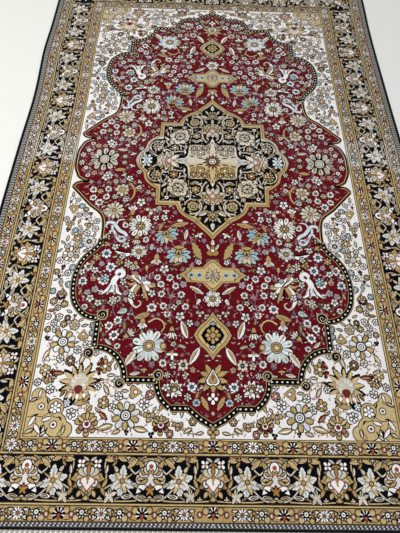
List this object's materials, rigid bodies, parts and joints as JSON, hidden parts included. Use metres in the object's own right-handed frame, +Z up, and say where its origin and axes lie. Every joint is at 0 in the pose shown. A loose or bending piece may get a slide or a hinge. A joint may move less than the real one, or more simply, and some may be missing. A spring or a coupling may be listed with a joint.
{
  "type": "persian rug",
  "caption": "Flat hand-knotted medallion rug with woven borders, overcast sides, flat-woven ends and a short warp fringe, lying on a floor.",
  "frame": {"origin": "on the floor under the middle of the laid rug", "axes": "+X across the rug, +Y along it to its far end, +Z up out of the pile"},
  "size_m": [1.9724, 3.0866, 0.0075],
  "materials": {
    "pile": "clipped knotted silk and wool pile, soft sheen",
    "selvedge": "navy overcast wool, matt",
    "end_weave": "navy flat weave, matt",
    "fringe": "undyed warp yarn, matt"
  },
  "bodies": {
    "root": {"pile_body": "pile", "selvedge_left": "selvedge", "selvedge_right": "selvedge", "end_band_near": "end_weave", "end_band_far": "end_weave", "fringe_near": "fringe", "fringe_far": "fringe"}
  },
  "joints": []
}
